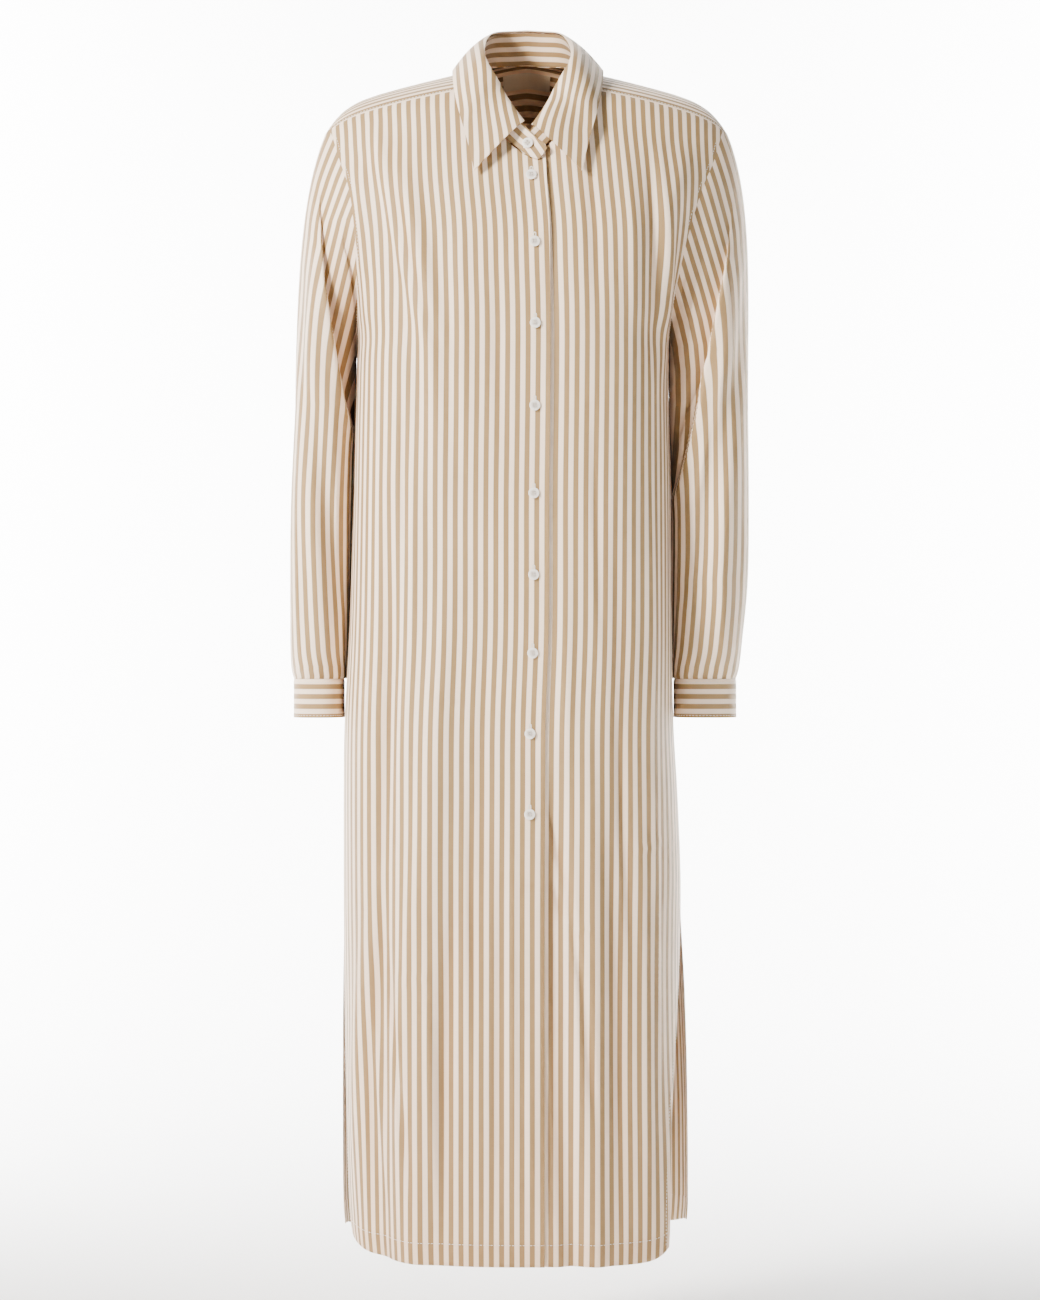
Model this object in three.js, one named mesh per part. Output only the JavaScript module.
// A striped cotton shirt dress, filled out as if worn, with nothing inside.
// Millimetres. +Z is up, the front faces -Y, the wearer's left is +X.
// The origin is the middle of the neck at the height of the shoulders.
import * as THREE from 'three';

// Cloth and sewing sizes
const WALL = 1.2;
const CUFF_WALL = 1.8;
const SEAM_GAP = 0.3;
const LAP_DEPTH = WALL + SEAM_GAP + 0.7;
const YOKE_COLUMNS = 10;
const BAND_HALF = 15;
const STRIPE_MEAN = 0xd8c6ae;
const BUTTON_COLOUR = 0xefe9dc;
const LABEL_COLOUR = 0xb89468;

// The body cloth is one surface that runs from the front hem up over the
// shoulders and down to the back hem. Each row is a cross line of it:
// z, ym: height and depth on the middle line, xm: where that line is;
// fall: how much lower the side end is, tip: a further drop close to the end;
// xl, yl and xr, yr: the ends on the wearer's right and left;
// sq: squareness, tl and tr: how sharply each side turns (1 flat, 0.4 round).
const COLUMNS = ['z', 'ym', 'xm', 'fall', 'tip', 'xl', 'yl', 'xr', 'yr', 'sq', 'tl', 'tr'];
const FRONT_ROWS = [
  [-1184, -128, 8, 0, -13, -172, -14, 147, -94, 2.6, 0.55, 0.9],
  [-1120, -127, 8, 0, 0, -175, -10, 148, -90, 2.6, 0.5, 0.85],
  [-1040, -126, 8, 0, 0, -177, -7, 150, -78, 2.6, 0.45, 0.75],
  [-940, -124, 8, 0, 0, -179, -3, 157, -44, 2.8, 0.42, 0.55],
  [-836, -122, 8, 0, 0, -180, 0, 162, 0, 3, 0.38, 0.36],
  [-734, -120, 8.5, 0, 0, -180, 0, 159, 0, 3, 0.36, 0.34],
  [-653, -119, 9, 0, 0, -179, 0, 154.5, 0, 3, 0.36, 0.34],
  [-560, -118, 12, 0, 0, -174, 0, 153, 0, 3, 0.34, 0.34],
  [-430, -118, 12.5, 0, 0, -170, 0, 152, 0, 3, 0.34, 0.34],
  [-340, -118, 13.5, 0, 0, -168, 0, 150, 0, 3, 0.34, 0.34],
  [-277, -118, 14, 0, 0, -166, 0, 149, 0, 3, 0.36, 0.36],
  [-243, -118, 14, 2, 0, -165, -34, 151, -34, 3.2, 0.55, 0.55],
  [-203, -117, 13.5, 2, 0, -164, -56, 158, -56, 3.4, 0.85, 0.85],
  [-160, -113, 13, 3, 0, -166, -64, 168, -62, 3.4, 1, 1],
  [-112, -103, 10, 8, 0, -172, -60, 181, -58, 3.2, 1, 1],
  [-52, -80, 8, 34, 0, -183, -42, 195, -40, 3, 1, 1],
  [-11.6, -55.7, 7.2, 35.5, 7, -194, -20, 205, -19.6, 3, 1, 1],
];
const RIDGE_ROW = [16, 2, 6, 46, 31, -201, 2, 212, 2, 3, 1, 1];
const BACK_ROWS = [
  [30, 62, 6, 70, 24, -197, 17, 208, 17, 3, 1, 1],
  [14, 82, 6, 72, 13, -191, 32, 202, 32, 3, 1, 1],
  [-20, 96, 6, 56, 6, -184, 46, 195, 46, 3, 1, 1],
  [-62, 105, 6, 36, 2, -179, 57, 189, 57, 3, 1, 1],
  [-128, 111, 6, 12, 0, -175, 66, 182, 66, 3.2, 1, 1],
  [-175, 114, 5, 6, 0, -174, 68, 175, 66, 3.4, 1, 1],
  [-213, 115, 4, 3, 0, -171, 58, 164, 58, 3.4, 0.85, 0.85],
  [-247, 114, 2, 2, 0, -168, 34, 155, 34, 3.2, 0.55, 0.55],
  [-277, 112, 0, 0, 0, -166, 0, 149, 0, 3, 0.36, 0.36],
  [-340, 109, -5, 0, 0, -168, 0, 150, 0, 3, 0.34, 0.34],
  [-430, 106, -8, 0, 0, -170, 0, 152, 0, 3, 0.34, 0.34],
  [-560, 106, -10, 0, 0, -174, 0, 153, 0, 3, 0.34, 0.34],
  [-653, 111, -12, 0, 0, -179, 0, 154.5, 0, 3, 0.36, 0.34],
  [-734, 115, -12, 0, 0, -180, 0, 159, 0, 3, 0.36, 0.34],
  [-836, 118, -10, 0, 0, -180, 0, 162, 0, 3, 0.38, 0.36],
  [-940, 120, -8, 0, 0, -181.5, 4, 168, 12, 2.8, 0.4, 0.4],
  [-1040, 121, -6, 0, 0, -182, 7, 171, 24, 2.6, 0.42, 0.42],
  [-1120, 122, -6, 0, 0, -182, 9, 172, 30, 2.6, 0.45, 0.45],
  [-1180, 122, -6, 0, -12, -181, 12, 172, 34, 2.6, 0.5, 0.5],
];
const ROWS = [...FRONT_ROWS, RIDGE_ROW, ...BACK_ROWS].map((row) => {
  return Object.fromEntries(COLUMNS.map((name, k) => [name, row[k]]));
});
const RIDGE = FRONT_ROWS.length;
const UNDERARM_FRONT_ROW = 10;
const YOKE_FRONT_ROW = RIDGE - 1;
const YOKE_BACK_ROW = RIDGE + 4;
const UNDERARM_BACK_ROW = RIDGE + 9;

// Neck: half width in parts of a shoulder, the height of its front middle, the
// rows from the shoulder ridge to its back, and how far its front is a vee
const NECK_SHARE = 0.285;
const NECK_FRONT_Z = -95;
const NECK_BACK_ROWS = 1.25;
const NECK_VEE = 0.3;
const STAND_HEIGHT = 34;
const STAND_FRONT_HEIGHT = 20;
const TAB_REACH = 8;
const STAND_BUTTON_BACK = 11.5;
const STAND_WALL = 1.6;
// The stand leans inward by a share of its height, more at the sides; its over
// end lies outside the cloth and its under end inside, both run in over a share
// of its length
const STAND_LEAN = 0.24;
const STAND_SIDE_LEAN = 0.22;
const STAND_OUTSIDE = 2.1;
const STAND_OVER_SHARE = 0.12;
const STAND_UNDER_SHARE = 0.16;
const STAND_FOOT = 1;
// The fall starts a share of the stand's length from its ends, a little later on
// the side that laps over, clears the stand by a gap, rolls outward by a knee
// and dips over the tab
const LEAF_START_OVER = 0.062;
const LEAF_START = 0.05;
const ROLL_GAP = 2.5;
const ROLL_KNEE = 13;
const OVER_TAB = 5.5;
const OVER_TAB_SHARE = 0.1;

// Label inside the back yoke: half width in parts of a shoulder, drop below the
// neck seam and depth in rows, how far inside the yoke it lies, thickness
const LABEL_HALF = 0.125;
const LABEL_TOP_ROWS = 0.33;
const LABEL_ROWS = 0.62;
const LABEL_INSIDE = 1.9;
const LABEL_WALL = 0.6;

// Buttons
const BUTTON_RADIUS = 5.7;
const BUTTON_THICK = 2.2;
const BUTTON_HEIGHTS = [-113, -180, -260, -341, -427, -507, -584, -663, -742];

// Sleeves: rings from the elbow down, then the cuff.
// out and into: the outer and inner sides; front and back: the depths.
const SLEEVE_COLUMNS = ['z', 'out', 'into', 'front', 'back'];
const RIGHT_SLEEVE_ROWS = [
  [-335, -229.5, -170.6, -60, 62],
  [-430, -234, -172.6, -58, 64],
  [-510, -235, -175.4, -54, 62],
  [-570, -235, -179, -47, 58],
  [-598, -234, -181.5, -40, 52],
  [-610, -231.5, -182, -34, 46],
];
const LEFT_SLEEVE_ROWS = [
  [-335, 231, 152.6, -62, 62],
  [-430, 232, 154.6, -60, 64],
  [-510, 231, 155.6, -56, 62],
  [-570, 225.5, 157, -48, 56],
  [-598, 222.5, 157.4, -38, 48],
  [-610, 219.5, 157.6, -30, 42],
];
const CUFF_HEIGHT = 38;
const CUFF_SEAM = 1.5;
const PLACKET_ROWS = 4;
const PLACKET_COLUMN = 19;
const CUFF_LAP = 0.09;
const GATHERS = 14;
const GATHER_DEPTH = 1.6;

function cubic(a, b, c, d, t) {
  const t2 = t * t;
  const t3 = t2 * t;
  return 0.5 * (2 * b + (c - a) * t + (2 * a - 5 * b + 4 * c - d) * t2 + (3 * b - a - 3 * c + d) * t3);
}

// A smooth run through rows of named numbers, at a place given in row steps.
// A number that two rows share stays level between them.
function rowAt(rows, names, place) {
  const last = rows.length - 1;
  const k = Math.min(Math.max(Math.floor(place), 0), last - 1);
  const t = place - k;
  const out = {};
  for (const name of names) {
    const b = rows[k][name];
    const c = rows[k + 1][name];
    const a = k > 0 ? rows[k - 1][name] : 2 * b - c;
    const d = k < last - 1 ? rows[k + 2][name] : 2 * c - b;
    out[name] = b === c ? b : cubic(a, b, c, d, t);
  }
  return out;
}

// A point of the body cloth: across is -1 to 1, row counts along the table
function bodyPoint(across, row) {
  const r = rowAt(ROWS, COLUMNS, row);
  const a = Math.min(Math.abs(across), 1);
  const side = across < 0;
  const x = side ? r.xm + (r.xl - r.xm) * a : r.xm + (r.xr - r.xm) * a;
  const turn = Math.max(side ? r.tl : r.tr, 0.3);
  const end = side ? r.yl : r.yr;
  const y = r.ym + (end - r.ym) * (1 - Math.pow(1 - Math.pow(a, r.sq), turn));
  const z = r.z - r.fall * Math.pow(a, 1.4) - r.tip * Math.pow(a, 14);
  return new THREE.Vector3(x, y, z);
}

// The large folds: a run of soft ridges (+) or troughs (-) on the body,
// each between two places (across, row), with its width and height.
const FOLDS = [
  { from: [-0.78, 15.6], to: [-0.55, 9.2], wide: 0.07, high: 6 },
  { from: [-0.9, 15.2], to: [-0.66, 9.6], wide: 0.06, high: -4 },
  { from: [0.82, 15.2], to: [0.93, 10.4], wide: 0.06, high: 4 },
  { from: [0.16, 5.6], to: [0.3, 0.2], wide: 0.07, high: -6 },
  { from: [0.36, 6.2], to: [0.48, 0.2], wide: 0.08, high: 5 },
  { from: [-0.5, 7.5], to: [-0.62, 0.2], wide: 0.09, high: 6 },
  { from: [-0.72, 8.2], to: [-0.82, 0.2], wide: 0.06, high: -6 },
  { from: [-0.3, 24], to: [-0.42, 34.6], wide: 0.1, high: 7 },
  { from: [0.02, 22], to: [0.05, 35], wide: 0.09, high: -5 },
  { from: [0.36, 24], to: [0.46, 34.6], wide: 0.1, high: 7 },
  { from: [0.7, 27], to: [0.76, 35], wide: 0.07, high: -5 },
  { from: [-0.72, 27], to: [-0.76, 35], wide: 0.07, high: -5 },
];

function foldHeight(across, row) {
  let sum = 0;
  for (const f of FOLDS) {
    const run = (row - f.from[1]) / (f.to[1] - f.from[1]);
    if (run > 0 && run < 1.25) {
      const middle = f.from[0] + (f.to[0] - f.from[0]) * run;
      const off = (across - middle) / f.wide;
      const grow = Math.min(1, Math.sin(Math.min(run, 0.5) * Math.PI) * 1.2);
      sum += f.high * grow * Math.exp(-off * off);
    }
  }
  return sum;
}

// Where the body cloth's middle or side line passes a given height
function rowOfHeight(z, across, low, high) {
  let a = low;
  let b = high;
  const rising = bodyPoint(across, b).z > bodyPoint(across, a).z;
  for (let k = 0; k < 40; k++) {
    const m = (a + b) / 2;
    if (bodyPoint(across, m).z < z === rising) a = m;
    else b = m;
  }
  return (a + b) / 2;
}

// The outward way of the body cloth
function normalAt(across, row) {
  const h = 0.02;
  const dx = bodyPoint(Math.min(across + h, 1), row).sub(bodyPoint(Math.max(across - h, -1), row));
  const dw = bodyPoint(across, row + h).sub(bodyPoint(across, row - h));
  return dx.cross(dw).normalize();
}

// A point of the body cloth with its folds, raised by lift, and its facing
function lifted(across, row, lift) {
  const n = normalAt(across, row);
  const p = bodyPoint(across, row).addScaledVector(n, lift + foldHeight(across, row));
  p.facing = n;
  return p;
}

// The way the cloth faces at a grid point, from its neighbours. On a seam it
// is the whole surface's own, so that two pieces meet edge to edge.
function facingAt(grid, i, j, round) {
  const rows = grid.length;
  const cols = grid[0].length;
  const border = i === 0 || i === rows - 1 || (!round && (j === 0 || j === cols - 1));
  const seam = border ? grid[i][j].facing : null;
  const at = (r, c) => grid[r][round ? (c + cols) % cols : Math.min(Math.max(c, 0), cols - 1)];
  const up = at(Math.min(i + 1, rows - 1), j).clone().sub(at(Math.max(i - 1, 0), j));
  const along = at(i, j + 1).clone().sub(at(i, j - 1));
  const n = along.cross(up).normalize();
  if (!seam) return n;
  return n.dot(seam) < 0 ? seam.clone().negate() : seam;
}

// A cloth wall through a grid of points: grid[i][j], closed in j if round
function clothWall(grid, wall, round = false) {
  const rows = grid.length;
  const cols = grid[0].length;
  const points = [];
  for (const side of [1, -1]) {
    for (let i = 0; i < rows; i++) {
      for (let j = 0; j < cols; j++) {
        const n = facingAt(grid, i, j, round);
        points.push(grid[i][j].clone().addScaledVector(n, (side * wall) / 2));
      }
    }
  }
  const half = rows * cols;
  const id = (side, i, j) => side * half + i * cols + ((j + cols) % cols);
  const faces = [];
  const quad = (a, b, c, d) => faces.push(a, b, c, a, c, d);
  const span = round ? cols : cols - 1;
  for (let i = 0; i < rows - 1; i++) {
    for (let j = 0; j < span; j++) {
      quad(id(0, i, j), id(0, i, j + 1), id(0, i + 1, j + 1), id(0, i + 1, j));
      quad(id(1, i, j), id(1, i + 1, j), id(1, i + 1, j + 1), id(1, i, j + 1));
    }
  }
  for (let j = 0; j < span; j++) {
    const top = rows - 1;
    quad(id(0, 0, j), id(1, 0, j), id(1, 0, j + 1), id(0, 0, j + 1));
    quad(id(0, top, j), id(0, top, j + 1), id(1, top, j + 1), id(1, top, j));
  }
  if (!round) {
    const end = cols - 1;
    for (let i = 0; i < rows - 1; i++) {
      quad(id(0, i, 0), id(0, i + 1, 0), id(1, i + 1, 0), id(1, i, 0));
      quad(id(0, i, end), id(1, i, end), id(1, i + 1, end), id(0, i + 1, end));
    }
  }
  return solid(points, faces);
}

// Points and faces as a geometry whose faces point out
function solid(points, faces) {
  let volume = 0;
  for (let k = 0; k < faces.length; k += 3) {
    const [a, b, c] = [0, 1, 2].map((m) => points[faces[k + m]]);
    volume += a.dot(b.clone().cross(c));
  }
  const turned = volume < 0 ? faces.slice().reverse() : faces;
  const geometry = new THREE.BufferGeometry();
  const flat = points.flatMap((p) => [p.x, p.y, p.z]);
  geometry.setAttribute('position', new THREE.Float32BufferAttribute(flat, 3));
  geometry.setIndex(turned);
  geometry.computeVertexNormals();
  return geometry;
}

// A line of points, resampled at shares of its length
function resample(line, shares) {
  const length = [0];
  for (let k = 1; k < line.length; k++) {
    length.push(length[k - 1] + line[k].distanceTo(line[k - 1]));
  }
  const total = length[line.length - 1];
  return shares.map((share) => {
    const want = Math.min(Math.max(share, 0), 1) * total;
    let k = 1;
    while (k < line.length - 1 && length[k] < want) k++;
    const t = (want - length[k - 1]) / (length[k] - length[k - 1]);
    return line[k - 1].clone().lerp(line[k], t);
  });
}

function evenly(count) {
  return Array.from({ length: count + 1 }, (_, k) => k / count);
}

// across for a share of the cloth's own length between two ends of a row
function acrossTable(row, from, to, steps = 60) {
  const list = [];
  let sum = 0;
  let before = null;
  for (let k = 0; k <= steps; k++) {
    const turnFrom = Math.asin(from);
    const turnTo = Math.asin(to);
    const across = Math.sin(turnFrom + ((turnTo - turnFrom) * k) / steps);
    const p = bodyPoint(across, row);
    if (before) sum += p.distanceTo(before);
    before = p;
    list.push([sum, across]);
  }
  return list;
}

function acrossAtLength(list, want) {
  let k = 1;
  while (k < list.length - 1 && list[k][0] < want) k++;
  const t = (want - list[k - 1][0]) / (list[k][0] - list[k - 1][0]);
  return list[k - 1][1] + t * (list[k][1] - list[k - 1][1]);
}

// Front panels. side is -1 for the wearer's right, 1 for the left.
const CF_NECK_ROW = rowOfHeight(NECK_FRONT_Z, 0, 11, YOKE_FRONT_ROW);
const CB_NECK_ROW = RIDGE + NECK_BACK_ROWS;
const FRONT_ROW_PLACES = evenly(20).map((t) => t * UNDERARM_FRONT_ROW);
const FRONT_UPPER_STEPS = 9;

// The neck seam's row at a share of the way from the button line to the side
function neckRow(share) {
  const x = Math.min(share, 1);
  const rise = NECK_VEE * x + (1 - NECK_VEE) * (1 - Math.sqrt(1 - x * x));
  return CF_NECK_ROW + (YOKE_FRONT_ROW - CF_NECK_ROW) * rise;
}

function frontPanel(side) {
  const neckColumns = 4;
  const shares = [];
  for (let j = 0; j <= neckColumns; j++) shares.push((j / neckColumns) * NECK_SHARE);
  for (let j = 1; j <= YOKE_COLUMNS; j++) {
    shares.push(NECK_SHARE + (j / YOKE_COLUMNS) * (1 - NECK_SHARE));
  }
  const lap = side < 0 ? 0 : -LAP_DEPTH;
  const grid = [];
  const build = (rowOf) => {
    const line = [];
    for (const d of [-BAND_HALF, -BAND_HALF / 2]) {
      const row = rowOf(0);
      const list = acrossTable(row, 0, -side);
      const across = acrossAtLength(list, -d);
      line.push(lifted(across, row, lap));
    }
    for (const share of shares) {
      const row = rowOf(share);
      const list = acrossTable(row, 0, side);
      const length = list[list.length - 1][0] * share;
      const across = share >= 1 ? side : acrossAtLength(list, length);
      const under = length < BAND_HALF ? 1 : Math.max(0, 1 - (length - BAND_HALF) / 18);
      line.push(lifted(across, row, lap * under));
    }
    grid.push(line);
  };
  for (const row of FRONT_ROW_PLACES) build(() => row);
  for (let k = 1; k <= FRONT_UPPER_STEPS; k++) {
    const t = k / FRONT_UPPER_STEPS;
    build((share) => {
      const limit = share <= NECK_SHARE ? neckRow(share / NECK_SHARE) : YOKE_FRONT_ROW;
      return UNDERARM_FRONT_ROW + (limit - UNDERARM_FRONT_ROW) * t;
    });
  }
  trim(grid, 'top', SEAM_GAP);
  trim(grid, 'right', SEAM_GAP / 2);
  return clothWall(grid, WALL);
}

// Draws one border of a grid in along the cloth
function trim(grid, border, amount) {
  const rows = grid.length;
  const cols = grid[0].length;
  const pull = (edge, inner) => {
    const step = inner.clone().sub(edge);
    edge.addScaledVector(step, Math.min(amount / step.length(), 0.5));
  };
  if (border === 'top') for (let j = 0; j < cols; j++) pull(grid[rows - 1][j], grid[rows - 2][j]);
  if (border === 'bottom') for (let j = 0; j < cols; j++) pull(grid[0][j], grid[1][j]);
  if (border === 'left') for (let i = 0; i < rows; i++) pull(grid[i][0], grid[i][1]);
  if (border === 'right') for (let i = 0; i < rows; i++) pull(grid[i][cols - 1], grid[i][cols - 2]);
}

// Back panel, from the yoke seam to the hem
const BACK_ROW_PLACES = [
  ...evenly(7).map((t) => YOKE_BACK_ROW + t * (UNDERARM_BACK_ROW - YOKE_BACK_ROW)),
  ...evenly(20).slice(1).map((t) => UNDERARM_BACK_ROW + t * (ROWS.length - 1 - UNDERARM_BACK_ROW)),
];

function backPanel() {
  const columns = 24;
  const grid = BACK_ROW_PLACES.map((row) => {
    const list = acrossTable(row, -1, 1, 120);
    const total = list[list.length - 1][0];
    return evenly(columns).map((share) => {
      const across = share === 0 ? -1 : share === 1 ? 1 : acrossAtLength(list, share * total);
      return lifted(across, row, 0);
    });
  });
  trim(grid, 'bottom', SEAM_GAP / 2);
  trim(grid, 'left', SEAM_GAP / 2);
  trim(grid, 'right', SEAM_GAP / 2);
  return clothWall(grid, WALL);
}

// Yoke: a C round the neck, from the front seams over the shoulders
const YOKE_SHOULDER_STEPS = 6;
const YOKE_BACK_STEPS = 14;

function neckPlace(turn) {
  // turn 0 is the front corner, 1 the middle of the back
  const angle = (turn * Math.PI) / 2;
  const row = YOKE_FRONT_ROW + (CB_NECK_ROW - YOKE_FRONT_ROW) * Math.sin(angle);
  return [NECK_SHARE * Math.cos(angle), row];
}

function yokePlaces() {
  const list = [];
  const half = YOKE_SHOULDER_STEPS + YOKE_BACK_STEPS / 2;
  for (let k = 0; k <= 2 * half; k++) {
    const side = k <= half ? -1 : 1;
    const m = k <= half ? k : 2 * half - k;
    const neck = neckPlace(Math.pow(m / half, 0.9));
    let edge;
    if (m <= YOKE_SHOULDER_STEPS) {
      edge = [1, YOKE_FRONT_ROW + ((YOKE_BACK_ROW - YOKE_FRONT_ROW) * m) / YOKE_SHOULDER_STEPS];
    } else {
      edge = [1 - (m - YOKE_SHOULDER_STEPS) / (YOKE_BACK_STEPS / 2), YOKE_BACK_ROW];
    }
    list.push({ neck: [side * neck[0], neck[1]], edge: [side * edge[0], edge[1]] });
  }
  return list;
}

// The front's column places along the yoke seam, as shares of the yoke's width
function seamShares(side) {
  const list = acrossTable(YOKE_FRONT_ROW, 0, side);
  const total = list[list.length - 1][0];
  return evenly(YOKE_COLUMNS).map((t) => {
    const share = NECK_SHARE + t * (1 - NECK_SHARE);
    const across = share >= 1 ? 1 : Math.abs(acrossAtLength(list, share * total));
    return across;
  });
}

function yoke() {
  const seams = { '-1': seamShares(-1), 1: seamShares(1) };
  const places = yokePlaces();
  const grid = evenly(YOKE_COLUMNS).map((_, k) => {
    return places.map(({ neck, edge }, m) => {
      const seam = seams[m <= (places.length - 1) / 2 ? -1 : 1];
      const r = (seam[k] - seam[0]) / (1 - seam[0]);
      const s = neck[0] + (edge[0] - neck[0]) * r;
      const w = neck[1] + (edge[1] - neck[1]) * r;
      return lifted(s, w, 0);
    });
  });
  trim(grid, 'top', SEAM_GAP);
  trim(grid, 'left', SEAM_GAP / 2);
  trim(grid, 'right', SEAM_GAP / 2);
  return clothWall(grid, WALL);
}

// The neck seam as one line, from the front middle round the back
function neckLine(side) {
  const line = [];
  const steps = 14;
  for (let k = 0; k <= steps; k++) {
    const share = k / steps;
    const row = neckRow(share);
    line.push(bodyPoint(side * share * NECK_SHARE, row));
  }
  for (let k = 1; k <= steps; k++) {
    const [s, w] = neckPlace(k / steps);
    line.push(bodyPoint(side * s, w));
  }
  return line;
}

const NECK_CENTRE = new THREE.Vector3(7, 0, 0);
const NECK_RIGHT = neckLine(-1);
const NECK_LEFT = neckLine(1);
const NECK = [...NECK_RIGHT, ...NECK_LEFT.slice(0, -1).reverse()];
const STAND_STEPS = 34;

// Foot and top edge of the collar stand at a share of the way round;
// below 0 and above 1 the ends run on straight past the middle.
function standAt(share) {
  const inside = Math.min(Math.max(share, 0), 1);
  const over = Math.max(0, 1 - Math.abs(share) / STAND_OVER_SHARE);
  const under = Math.max(0, 1 - Math.abs(1 - share) / STAND_UNDER_SHARE);
  const [foot] = resample(NECK, [inside]);
  const [a, b] = resample(NECK, [Math.max(inside - 0.02, 0), Math.min(inside + 0.02, 1)]);
  const tangent = b.clone().sub(a).normalize();
  const past = (share - inside) * NECK_LENGTH;
  const inward = NECK_CENTRE.clone().sub(foot).setZ(0).normalize();
  if (past < 0) foot.addScaledVector(tangent, past);
  else foot.x -= past;
  foot.addScaledVector(inward, under * (LAP_DEPTH + 0.4) - over * STAND_OUTSIDE);
  const towardBack = Math.sin(inside * Math.PI);
  const lean = STAND_LEAN + STAND_SIDE_LEAN * Math.sin(inside * 2 * Math.PI) ** 2;
  const up = new THREE.Vector3(0, 0, 1).addScaledVector(inward, lean);
  up.addScaledVector(tangent, -up.dot(tangent)).normalize();
  const height = STAND_FRONT_HEIGHT + (STAND_HEIGHT - STAND_FRONT_HEIGHT) * towardBack;
  return { foot, up, inward, tangent, height };
}

const NECK_LENGTH = NECK.reduce((sum, p, k) => (k ? sum + p.distanceTo(NECK[k - 1]) : 0), 0);
const TAB_SHARE = TAB_REACH / NECK_LENGTH;

function collarStand() {
  const grid = evenly(4).map((h) => {
    return evenly(STAND_STEPS).map((t) => {
      const share = -TAB_SHARE + t * (1 + 1.4 * TAB_SHARE);
      const { foot, up, inward, height } = standAt(share);
      const roundEnd = share < 0 || share > 1 ? 1 - 0.25 * Math.pow(Math.abs(2 * h - 1), 3) : 1;
      const rise = (height - STAND_FOOT) * (0.5 + (h - 0.5) * roundEnd);
      return foot.clone().addScaledVector(up, STAND_FOOT + rise);
    });
  });
  return clothWall(grid, STAND_WALL);
}

// The outer edge of the collar fall on the wearer's right, from the point (0)
// to the middle of the back (0.5)
const COLLAR_COLUMNS = ['share', 'x', 'y', 'z'];
const COLLAR_EDGE = [
  [0, -46, -108, -109],
  [0.06, -52, -98, -82],
  [0.13, -60, -85, -52],
  [0.2, -66, -62, -24],
  [0.27, -69, -30, 2],
  [0.34, -67, 8, 13],
  [0.4, -54, 48, 25],
  [0.45, -28, 76, 24],
  [0.5, 7, 87, 18],
];

function collarEdge(share) {
  const mirror = share > 0.5;
  const want = mirror ? 1 - share : share;
  const rows = COLLAR_EDGE.map((row) => Object.fromEntries(COLLAR_COLUMNS.map((n, k) => [n, row[k]])));
  let k = 0;
  while (k < rows.length - 2 && rows[k + 1].share < want) k++;
  const place = k + (want - rows[k].share) / (rows[k + 1].share - rows[k].share);
  const p = rowAt(rows, COLLAR_COLUMNS, place);
  return new THREE.Vector3(mirror ? 14 - p.x : p.x, p.y, p.z);
}

const COLLAR_STEPS = 30;
const COLLAR_ROWS = 6;

function collarFall() {
  const grid = evenly(COLLAR_ROWS).map((r) => {
    return evenly(COLLAR_STEPS).map((t) => {
      const share = LEAF_START_OVER + t * (1 - LEAF_START_OVER - LEAF_START);
      const { foot, up, inward, height } = standAt(share);
      const overTab = Math.max(0, 1 - (1 - LEAF_START - share) / OVER_TAB_SHARE);
      const roll = foot.clone().addScaledVector(up, height + ROLL_GAP);
      roll.addScaledVector(inward, -OVER_TAB * overTab);
      const edge = collarEdge(t);
      const knee = roll.clone().addScaledVector(inward, -ROLL_KNEE).addScaledVector(up, -0.3);
      const a = roll.clone().lerp(knee, r);
      const b = knee.clone().lerp(edge, r);
      return a.lerp(b, r);
    });
  });
  return clothWall(grid, WALL);
}

// Sleeves. The armhole is the body's side edge over the shoulder.
function armhole(side) {
  const line = [];
  const steps = 80;
  for (let k = 0; k <= steps; k++) {
    const row = UNDERARM_FRONT_ROW + ((UNDERARM_BACK_ROW - UNDERARM_FRONT_ROW) * k) / steps;
    line.push(lifted(side, row, 0));
  }
  return line;
}

const SLEEVE_AROUND = 26;
const SLEEVE_CAP_STEPS = 8;

const SLEEVE_ROWS = [RIGHT_SLEEVE_ROWS, LEFT_SLEEVE_ROWS].map((table) => {
  return table.map((row) => Object.fromEntries(SLEEVE_COLUMNS.map((n, k) => [n, row[k]])));
});
const SLEEVE_END = RIGHT_SLEEVE_ROWS.length - 1;

function middleOf(points) {
  return points.reduce((sum, p) => sum.add(p), new THREE.Vector3()).divideScalar(points.length);
}

function sleeveRing(side, place) {
  const r = rowAt(SLEEVE_ROWS[side < 0 ? 0 : 1], SLEEVE_COLUMNS, place);
  const cx = (r.out + r.into) / 2;
  const cy = (r.front + r.back) / 2;
  const half = Math.abs(r.out - r.into) / 2;
  const line = [];
  const steps = 96;
  for (let k = 0; k <= steps; k++) {
    const angle = (2 * Math.PI * k) / steps;
    const c = Math.cos(angle);
    const s = Math.sin(angle);
    const x = cx - side * half * Math.sign(c) * Math.pow(Math.abs(c), 0.8);
    const depth = s > 0 ? r.front - cy : r.back - cy;
    line.push(new THREE.Vector3(x, cy + depth * Math.pow(Math.abs(s), 0.8), r.z));
  }
  return line;
}

// Sleeve folds: from and to are (share round, row), the share runs from the
// underarm by the front to the outside and on by the back
const SLEEVE_FOLDS = [
  { from: [0.42, 4], to: [0.14, 13], wide: 0.05, high: -7 },
  { from: [0.34, 3], to: [0.26, 12], wide: 0.05, high: 4 },
  { from: [0.62, 4], to: [0.8, 13], wide: 0.06, high: -6 },
];

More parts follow.
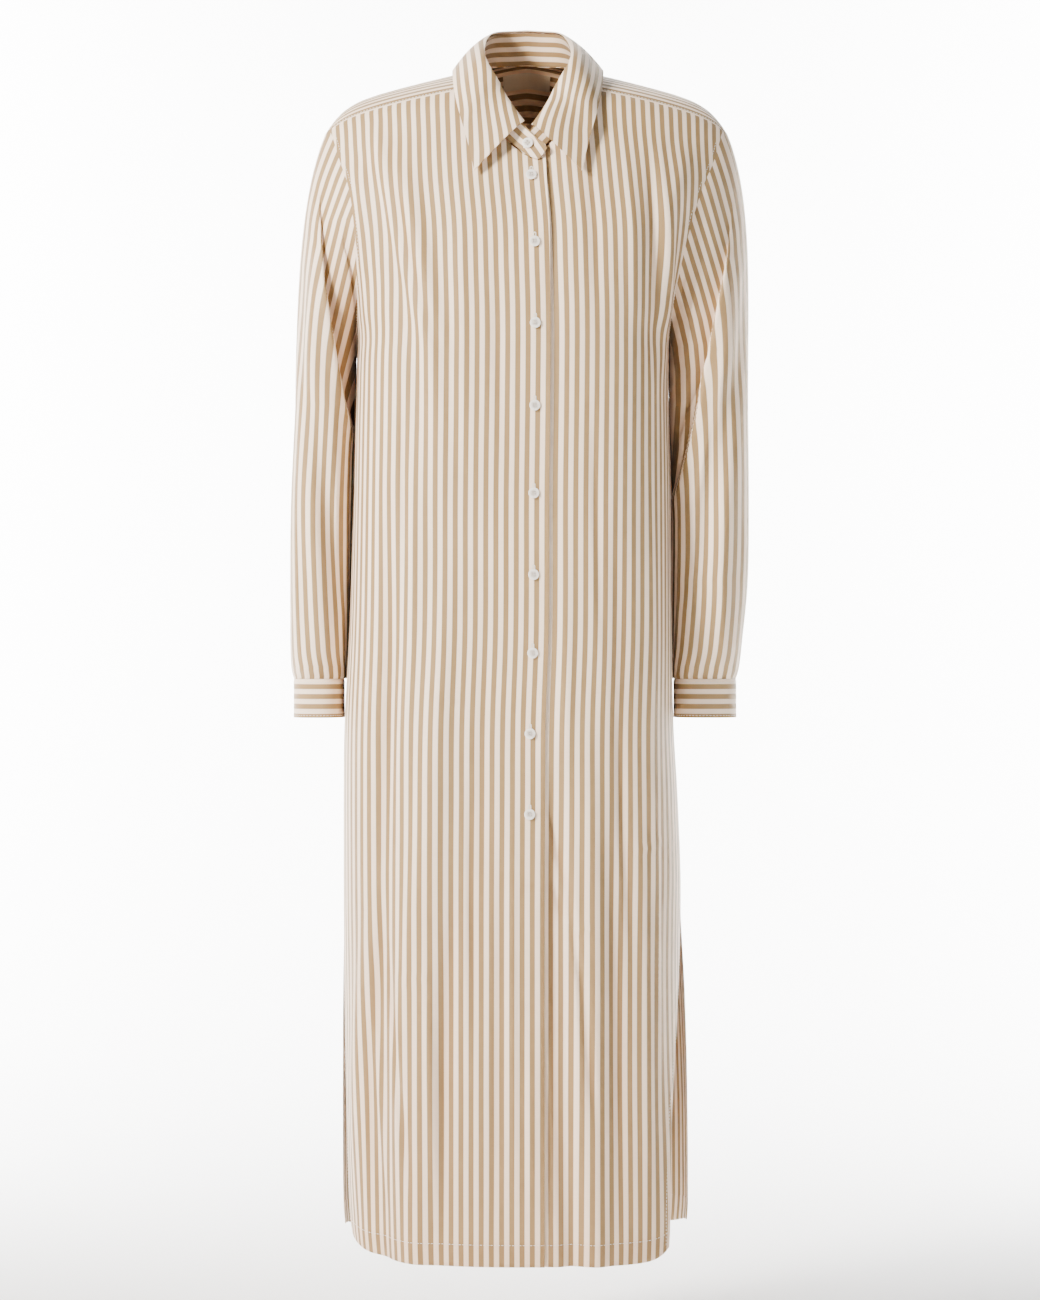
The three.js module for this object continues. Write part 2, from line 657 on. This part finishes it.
function sleeveFold(share, row) {
  let sum = 0;
  for (const f of SLEEVE_FOLDS) {
    const run = (row - f.from[1]) / (f.to[1] - f.from[1]);
    if (run > 0 && run < 1) {
      const off = (share - (f.from[0] + (f.to[0] - f.from[0]) * run)) / f.wide;
      sum += f.high * Math.sin(run * Math.PI) * Math.exp(-off * off);
    }
  }
  return sum;
}

function sleeveGrid(side) {
  const shares = evenly(SLEEVE_AROUND).slice(0, -1);
  const hole = resample(armhole(side), shares);
  const ring = resample(sleeveRing(side, 0), shares);
  const grid = [];
  const middle = new THREE.Vector3(side * 185, 0, -170);
  for (let k = 0; k <= SLEEVE_CAP_STEPS; k++) {
    const t = k / SLEEVE_CAP_STEPS;
    grid.push(hole.map((a, j) => {
      const b = ring[j];
      const reach = a.distanceTo(b);
      const radial = a.clone().sub(middle).setX(0).normalize();
      const leave = new THREE.Vector3(side * 0.3, 0, -0.78).addScaledVector(radial, 0.1);
      leave.multiplyScalar(reach);
      const arrive = new THREE.Vector3(0, 0, -reach * 0.9);
      const t2 = t * t;
      const t3 = t2 * t;
      const p = a.clone().multiplyScalar(2 * t3 - 3 * t2 + 1);
      p.addScaledVector(leave, t3 - 2 * t2 + t);
      p.addScaledVector(b, -2 * t3 + 3 * t2);
      p.addScaledVector(arrive, t3 - t2);
      if (k === 0) p.add(new THREE.Vector3(side * 1.4, 0, -0.3));
      return p;
    }));
  }
  const below = 10;
  for (let k = 1; k <= below; k++) {
    const place = (k / below) * SLEEVE_END;
    const line = resample(sleeveRing(side, place), shares);
    const gather = Math.max(0, (place - (SLEEVE_END - 2)) / 2);
    const centre = middleOf(line);
    grid.push(line.map((p, j) => {
      const wave = GATHER_DEPTH * gather * Math.cos(2 * Math.PI * GATHERS * shares[j]);
      return p.addScaledVector(p.clone().sub(centre).normalize(), wave * 0.5);
    }));
  }
  for (let i = 1; i < grid.length - 1; i++) {
    const centre = middleOf(grid[i]);
    grid[i].forEach((p, j) => {
      const out = p.clone().sub(centre).setZ(0).normalize();
      p.addScaledVector(out, sleeveFold(shares[j], i));
    });
  }
  return grid;
}

function sleeve(side) {
  return clothWall(sleeveGrid(side), WALL, true);
}

// A cuff is a strip that laps over itself at the back; h is 0 at its top
const CUFF_START = 0.7;
const CUFF_STEPS = 28;

function cuffPoint(side, h, t, lift = 0) {
  const ring = sleeveRing(side, SLEEVE_END);
  const centre = middleOf(ring);
  const turn = CUFF_START + t * (1 + CUFF_LAP);
  const [p] = resample(ring, [turn % 1]);
  const out = p.clone().sub(centre).setZ(0).normalize();
  const over = Math.min(Math.max((t * (1 + CUFF_LAP) - 0.85) / 0.15, 0), 1);
  p.addScaledVector(out, over * (CUFF_WALL + 2 * SEAM_GAP) - SEAM_GAP + lift);
  p.z -= CUFF_SEAM + h * CUFF_HEIGHT;
  return p;
}

function cuff(side) {
  const grid = evenly(3).map((h) => evenly(CUFF_STEPS).map((t) => cuffPoint(side, h, t)));
  return clothWall(grid, CUFF_WALL);
}

function cuffButton(side) {
  const lapMiddle = 1 - CUFF_LAP / 2;
  const foot = cuffPoint(side, 0.5, lapMiddle);
  const top = cuffPoint(side, 0.5, lapMiddle, CUFF_WALL / 2 + SEAM_GAP + 0.2 + BUTTON_THICK / 2);
  return button(top, top.clone().sub(foot).normalize());
}

// A strip that finishes the sleeve's slit above the cuff, laid on its cloth
function sleevePlacket(side) {
  const sleeveCloth = sleeveGrid(side);
  const bottom = sleeveCloth.length - 1;
  const grid = [];
  for (let i = bottom; i >= bottom - PLACKET_ROWS; i--) {
    grid.push([PLACKET_COLUMN, PLACKET_COLUMN + 1].map((j) => {
      const n = facingAt(sleeveCloth, i, j, true).multiplyScalar(-side);
      return sleeveCloth[i][j].clone().addScaledVector(n, WALL + SEAM_GAP);
    }));
  }
  return clothWall(grid, WALL);
}

function button(centre, outward) {
  const profile = [
    [0, -BUTTON_THICK / 2],
    [BUTTON_RADIUS * 0.82, -BUTTON_THICK / 2],
    [BUTTON_RADIUS, 0],
    [BUTTON_RADIUS * 0.9, BUTTON_THICK / 2],
    [BUTTON_RADIUS * 0.66, BUTTON_THICK * 0.28],
    [0, BUTTON_THICK * 0.28],
  ];
  const geometry = new THREE.LatheGeometry(profile.map(([x, y]) => new THREE.Vector2(x, y)), 14);
  const turn = new THREE.Quaternion().setFromUnitVectors(new THREE.Vector3(0, 1, 0), outward);
  geometry.applyQuaternion(turn);
  geometry.translate(centre.x, centre.y, centre.z);
  return geometry;
}

// The top button closes the collar stand at its middle height
function standButton() {
  const { foot, up, tangent, height } = standAt(STAND_BUTTON_BACK / NECK_LENGTH);
  const outward = up.clone().cross(tangent).normalize();
  if (outward.y > 0) outward.negate();
  const centre = foot.clone().addScaledVector(up, height / 2);
  centre.addScaledVector(outward, STAND_WALL / 2 + SEAM_GAP + BUTTON_THICK / 2);
  return button(centre, outward);
}

// The label hangs inside the back yoke, below the neck seam
function label() {
  const grid = evenly(2).map((h) => {
    return evenly(6).map((t) => {
      const across = LABEL_HALF * (2 * t - 1);
      const row = CB_NECK_ROW + LABEL_TOP_ROWS + h * LABEL_ROWS;
      const inward = normalAt(across, CB_NECK_ROW + LABEL_ROWS).negate();
      return lifted(across, row, 0).addScaledVector(inward, LABEL_INSIDE);
    });
  });
  return clothWall(grid, LABEL_WALL);
}

function cloth(colour) {
  return new THREE.MeshStandardMaterial({ color: colour, roughness: 0.72, metalness: 0 });
}

const dress = new THREE.Group();

function add(name, geometry, material) {
  const mesh = new THREE.Mesh(geometry, material);
  mesh.name = name;
  dress.add(mesh);
}

const stripedCloth = cloth(STRIPE_MEAN);
add('front_right', frontPanel(-1), stripedCloth);
add('front_left', frontPanel(1), stripedCloth);
add('back', backPanel(), stripedCloth);
add('yoke', yoke(), stripedCloth);
add('sleeve_right', sleeve(-1), stripedCloth);
add('sleeve_left', sleeve(1), stripedCloth);
add('cuff_right', cuff(-1), stripedCloth);
add('cuff_left', cuff(1), stripedCloth);
add('sleeve_placket_right', sleevePlacket(-1), stripedCloth);
add('sleeve_placket_left', sleevePlacket(1), stripedCloth);
add('collar_stand', collarStand(), stripedCloth);
add('collar_fall', collarFall(), stripedCloth);
add('neck_label', label(), cloth(LABEL_COLOUR));

const pearl = new THREE.MeshStandardMaterial({ color: BUTTON_COLOUR, roughness: 0.35, metalness: 0 });
add('button_stand', standButton(), pearl);
add('cuff_button_right', cuffButton(-1), pearl);
add('cuff_button_left', cuffButton(1), pearl);
const buttonLift = WALL / 2 + SEAM_GAP + BUTTON_THICK / 2;
BUTTON_HEIGHTS.forEach((z, k) => {
  const row = rowOfHeight(z, 0, 0, YOKE_FRONT_ROW);
  const n = normalAt(0.001, row);
  add(`button_${k + 1}`, button(lifted(0, row, buttonLift), n), pearl);
});

export default dress;
